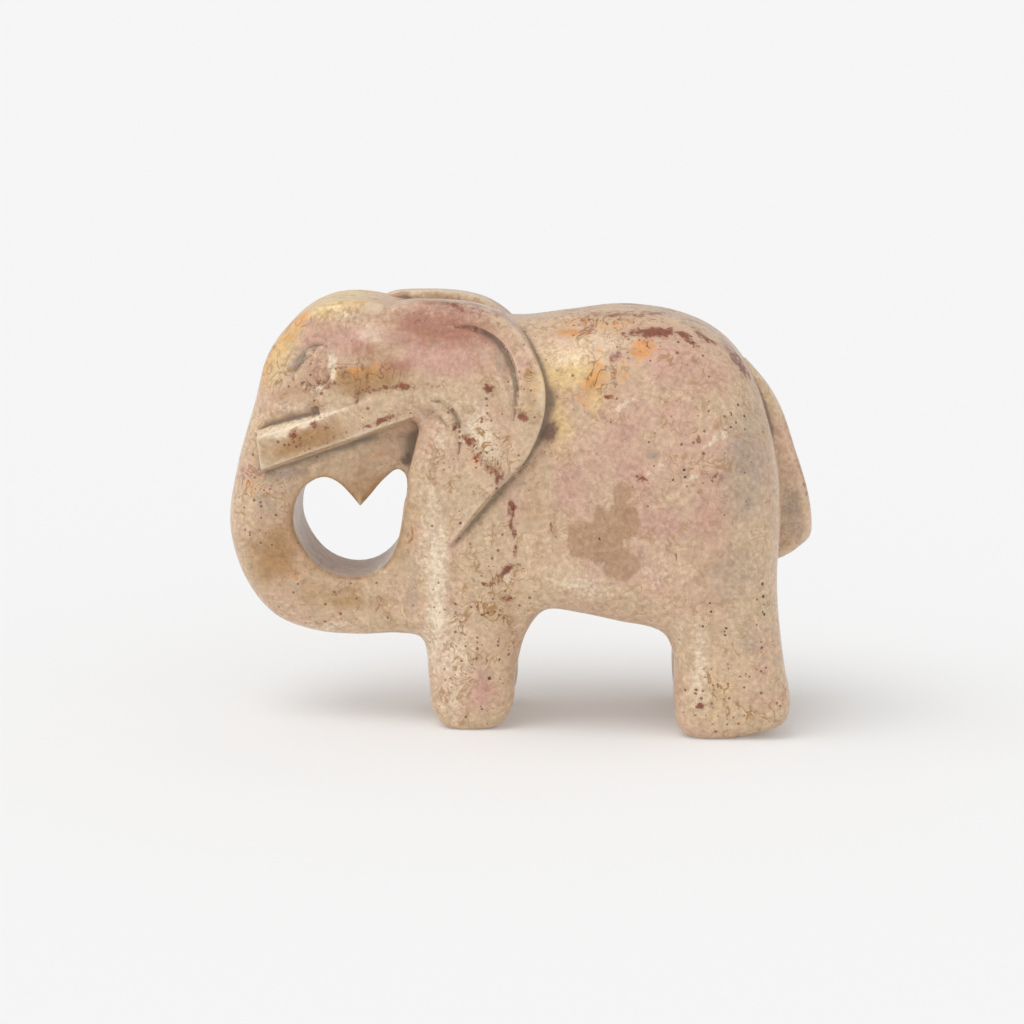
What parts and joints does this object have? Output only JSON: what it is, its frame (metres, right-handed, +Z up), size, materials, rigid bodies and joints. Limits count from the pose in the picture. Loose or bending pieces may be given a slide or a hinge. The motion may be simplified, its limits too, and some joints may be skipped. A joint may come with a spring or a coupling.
{
  "type": "elephant sculpture",
  "caption": "Small carved soapstone elephant standing on four legs, its trunk curled back to the front legs around a heart-shaped opening, with large ears, short tusks and a tail",
  "frame": {"origin": "centre of the footprint's bounding box, on the surface the elephant stands on", "axes": "+X from the head to the tail, +Y to the elephant's right side, +Z up"},
  "size_m": [0.0996, 0.043, 0.0733],
  "materials": {
    "stone": "polished and waxed soapstone, mottled cream, ochre and pink with rust veins and dark flecks"
  },
  "bodies": {
    "root": {"elephant": "stone"}
  },
  "joints": []
}
